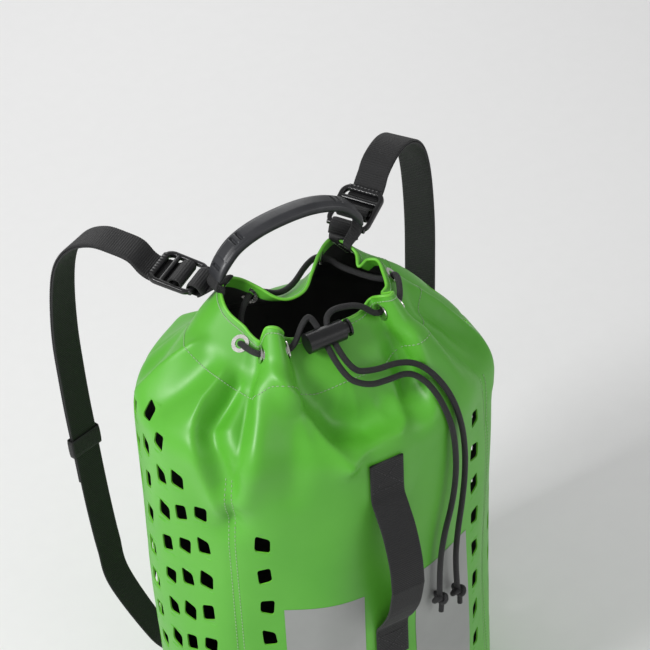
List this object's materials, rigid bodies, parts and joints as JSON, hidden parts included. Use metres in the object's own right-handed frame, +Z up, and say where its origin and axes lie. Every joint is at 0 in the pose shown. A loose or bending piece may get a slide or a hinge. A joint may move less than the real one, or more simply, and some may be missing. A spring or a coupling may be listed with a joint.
{
  "type": "fruit picking bag",
  "caption": "Drawstring harvest rucksack of perforated tarpaulin: oval body gathered at the mouth by a locked cord through eyelets, with a moulded carry grip, front handle and shoulder straps.",
  "frame": {"origin": "centre of the oval base, on the ground", "axes": "+Z up through the mouth, +Y towards the wearer's back and the shoulder straps, -Y the front with the front handle, +X to the right seen from the front"},
  "size_m": [0.4124, 0.3581, 0.6325],
  "materials": {
    "tarpaulin": "satin coated",
    "webbing": "ribbed weave",
    "elastic": "knitted",
    "cord": "braided",
    "black_plastic": "satin moulded",
    "grip_plastic": "fine grained",
    "nickel": "plated",
    "spring_steel": "drawn",
    "print": "matt print"
  },
  "bodies": {
    "bag": {"front_panel": "tarpaulin", "side_panel_right": "tarpaulin", "back_panel": "tarpaulin", "side_panel_left": "tarpaulin", "eyelet_1": "nickel", "eyelet_2": "nickel", "eyelet_3": "nickel", "eyelet_4": "nickel", "eyelet_5": "nickel", "eyelet_6": "nickel", "eyelet_7": "nickel", "eyelet_8": "nickel", "base_disc": "tarpaulin", "base_binding": "tarpaulin", "front_print_left": "print", "front_print_right": "print", "front_handle_patch_top": "webbing", "front_handle_patch_bottom": "webbing", "anchor_patch_left": "tarpaulin", "anchor_patch_right": "tarpaulin", "strap_anchor_left": "webbing", "strap_anchor_right": "webbing", "strap_tab_root_left": "webbing", "strap_tab_root_right": "webbing", "drawcord_loop": "cord", "cord_strand_left": "cord", "cord_strand_right": "cord", "cord_knot_left": "cord", "cord_knot_right": "cord"},
    "carry_handle": {"handle_grip": "grip_plastic", "handle_webbing": "webbing"},
    "front_handle": {"front_handle_web": "webbing"},
    "strap_left": {"strap_left": "webbing", "strap_tail_left": "webbing", "buckle_tab_left": "webbing"},
    "buckle_left": {"buckle_left": "black_plastic", "buckle_webbing_left": "webbing"},
    "keeper_left": {"keeper_left": "elastic"},
    "strap_right": {"strap_right": "webbing", "strap_tail_right": "webbing", "buckle_tab_right": "webbing"},
    "buckle_right": {"buckle_right": "black_plastic", "buckle_webbing_right": "webbing"},
    "keeper_right": {"keeper_right": "elastic"},
    "cord_lock": {"cord_lock_body": "black_plastic", "cord_lock_spring": "spring_steel"},
    "cord_lock_button": {"cord_lock_button": "black_plastic"}
  },
  "joints": [
    {"name": "carry_handle_swing", "type": "hinge", "parent": "bag", "child": "carry_handle", "pos_m": [-0.081, 0.036, 0.583], "axis": [0.9987, 0.0442, -0.0253], "range_deg": [-5, 40]},
    {"name": "front_handle_swing", "type": "hinge", "parent": "bag", "child": "front_handle", "pos_m": [0, -0.138, 0.32], "axis": [0, 0, 1], "range_deg": [-15, 15]},
    {"name": "strap_left_swing", "type": "hinge", "parent": "bag", "child": "strap_left", "pos_m": [-0.07945, 0.04108, 0.57819], "axis": [-0.1457, 0.1599, -0.9763], "range_deg": [-15, 15]},
    {"name": "strap_right_swing", "type": "hinge", "parent": "bag", "child": "strap_right", "pos_m": [0.06493, 0.05308, 0.56625], "axis": [0.1775, 0.1398, -0.9741], "range_deg": [-15, 10]},
    {"name": "buckle_left_tilt", "type": "hinge", "parent": "strap_left", "child": "buckle_left", "pos_m": [-0.08707, 0.05197, 0.58208], "axis": [0.8191, 0.5736, 0], "range_deg": [-10, 10]},
    {"name": "buckle_right_tilt", "type": "hinge", "parent": "strap_right", "child": "buckle_right", "pos_m": [0.07527, 0.05954, 0.57282], "axis": [0.5299, -0.848, 0], "range_deg": [-10, 10]},
    {"name": "keeper_left_slide", "type": "slide", "parent": "strap_left", "child": "keeper_left", "axis": [0.0381, -0.0545, -0.9978], "range_m": [-0.008, 0.01]},
    {"name": "keeper_right_slide", "type": "slide", "parent": "strap_right", "child": "keeper_right", "axis": [-0.0529, -0.0331, -0.9981], "range_m": [-0.008, 0.01]},
    {"name": "cord_lock_slide", "type": "slide", "parent": "bag", "child": "cord_lock", "axis": [0.0649, -0.7137, -0.6975], "range_m": [0, 0.014]},
    {"name": "cord_lock_press", "type": "slide", "parent": "cord_lock", "child": "cord_lock_button", "axis": [-1, 0, 0], "range_m": [0, 0.004], "stiffness_N_per_m": 400, "springref_m": -0.003}
  ]
}
